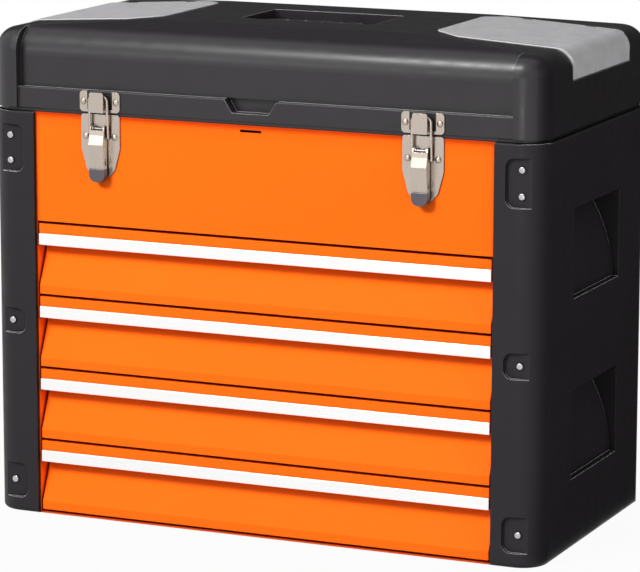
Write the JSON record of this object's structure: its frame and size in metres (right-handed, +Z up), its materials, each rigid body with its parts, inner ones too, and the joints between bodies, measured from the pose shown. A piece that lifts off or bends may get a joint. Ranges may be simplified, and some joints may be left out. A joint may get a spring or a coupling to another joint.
{
  "type": "portable tool box with drawers",
  "caption": "Portable tool box with a steel cabinet of drawers and an upper bin, moulded end shells, a hinged lid with parts wells and a folding handle, and draw latches.",
  "frame": {"origin": "on the ground under the middle of the cabinet, midway between its front and back faces", "axes": "+X to the right along the box seen from the front, -Y out of the drawer fronts, +Z up"},
  "size_m": [0.52, 0.2852, 0.4418],
  "materials": {
    "cabinet_steel": "powder-coated orange sheet steel, satin",
    "drawer_steel": "powder-coated orange sheet steel, satin",
    "pull_strip": "polished, clear-anodised extrusion",
    "shell_plastic": "dark charcoal moulded plastic, fine grain",
    "lid_plastic": "dark charcoal moulded plastic, smooth satin",
    "handle_plastic": "dark charcoal moulded plastic, satin",
    "frosted_plastic": "frosted light grey translucent plastic",
    "tip_plastic": "black dipped plastic",
    "latch_steel": "nickel-plated pressed steel",
    "hinge_steel": "zinc-plated pressed steel",
    "zinc_steel": "zinc-plated rolled steel",
    "screw_steel": "bright zinc-plated steel"
  },
  "bodies": {
    "cabinet": {"cabinet_case": "cabinet_steel", "front_panel": "cabinet_steel", "bin_floor": "cabinet_steel", "left_end_shell": "shell_plastic", "right_end_shell": "shell_plastic", "shell_screws": "screw_steel", "runners_1": "zinc_steel", "runners_2": "zinc_steel", "runners_3": "zinc_steel", "runners_4": "zinc_steel", "hinge_case_leaves": "hinge_steel", "hinge_pins": "screw_steel", "hinge_screws": "screw_steel", "latch_base_left": "latch_steel", "latch_base_right": "latch_steel", "latch_base_rivets": "latch_steel", "latch_pin_left": "screw_steel", "latch_pin_right": "screw_steel"},
    "lid": {"lid_shell": "lid_plastic", "strike_left": "latch_steel", "strike_right": "latch_steel", "strike_rivets": "latch_steel", "hinge_lid_leaves": "hinge_steel", "lid_screws": "screw_steel", "cover_pins": "screw_steel", "handle_pins": "screw_steel"},
    "organizer_cover_left_body": {"organizer_cover_left": "frosted_plastic"},
    "organizer_cover_right_body": {"organizer_cover_right": "frosted_plastic"},
    "carry_handle": {"handle": "handle_plastic"},
    "latch_left_lever": {"latch_lever_left": "latch_steel", "lever_tip_left": "tip_plastic"},
    "latch_left_loop": {"latch_loop_left": "latch_steel"},
    "latch_right_lever": {"latch_lever_right": "latch_steel", "lever_tip_right": "tip_plastic"},
    "latch_right_loop": {"latch_loop_right": "latch_steel"},
    "drawer_1": {"drawer_1_pan": "drawer_steel", "drawer_1_front": "drawer_steel", "drawer_1_pull": "pull_strip", "drawer_1_rails": "zinc_steel"},
    "drawer_2": {"drawer_2_pan": "drawer_steel", "drawer_2_front": "drawer_steel", "drawer_2_pull": "pull_strip", "drawer_2_rails": "zinc_steel"},
    "drawer_3": {"drawer_3_pan": "drawer_steel", "drawer_3_front": "drawer_steel", "drawer_3_pull": "pull_strip", "drawer_3_rails": "zinc_steel"},
    "drawer_4": {"drawer_4_pan": "drawer_steel", "drawer_4_front": "drawer_steel", "drawer_4_pull": "pull_strip", "drawer_4_rails": "zinc_steel"}
  },
  "joints": [
    {"name": "lid_hinge", "type": "hinge", "parent": "cabinet", "child": "lid", "pos_m": [0, 0.1375, 0.3635], "axis": [-1, 0, 0], "range_deg": [0, 100]},
    {"name": "cover_left_hinge", "type": "hinge", "parent": "lid", "child": "organizer_cover_left_body", "pos_m": [-0.18873, 0.07475, 0.43559], "axis": [-0.9982, 0, -0.0603], "range_deg": [0, 100]},
    {"name": "cover_right_hinge", "type": "hinge", "parent": "lid", "child": "organizer_cover_right_body", "pos_m": [0.18873, 0.07475, 0.43559], "axis": [-0.9982, 0, 0.0603], "range_deg": [0, 100]},
    {"name": "handle_fold", "type": "hinge", "parent": "lid", "child": "carry_handle", "pos_m": [0, 0.02925, 0.4272], "axis": [-1, 0, 0], "range_deg": [0, 90]},
    {"name": "latch_left_toggle", "type": "hinge", "parent": "cabinet", "child": "latch_left_lever", "pos_m": [-0.1513, -0.1381, 0.3512], "axis": [-1, 0, 0], "range_deg": [0, 100]},
    {"name": "latch_left_loop_pivot", "type": "hinge", "parent": "latch_left_lever", "child": "latch_left_loop", "pos_m": [-0.1513, -0.1371, 0.3432], "axis": [1, 0, 0], "range_deg": [0, 80]},
    {"name": "latch_right_toggle", "type": "hinge", "parent": "cabinet", "child": "latch_right_lever", "pos_m": [0.1513, -0.1381, 0.3512], "axis": [-1, 0, 0], "range_deg": [0, 100]},
    {"name": "latch_right_loop_pivot", "type": "hinge", "parent": "latch_right_lever", "child": "latch_right_loop", "pos_m": [0.1513, -0.1371, 0.3432], "axis": [1, 0, 0], "range_deg": [0, 80]},
    {"name": "drawer_1_slide", "type": "slide", "parent": "cabinet", "child": "drawer_1", "axis": [0, -1, 0], "range_m": [0, 0.19]},
    {"name": "drawer_2_slide", "type": "slide", "parent": "cabinet", "child": "drawer_2", "axis": [0, -1, 0], "range_m": [0, 0.19]},
    {"name": "drawer_3_slide", "type": "slide", "parent": "cabinet", "child": "drawer_3", "axis": [0, -1, 0], "range_m": [0, 0.19]},
    {"name": "drawer_4_slide", "type": "slide", "parent": "cabinet", "child": "drawer_4", "axis": [0, -1, 0], "range_m": [0, 0.19]}
  ],
  "couplings": [
    {"joint": "latch_left_loop_pivot", "follows": "latch_left_toggle", "ratio": 0.8},
    {"joint": "latch_right_loop_pivot", "follows": "latch_right_toggle", "ratio": 0.8}
  ]
}
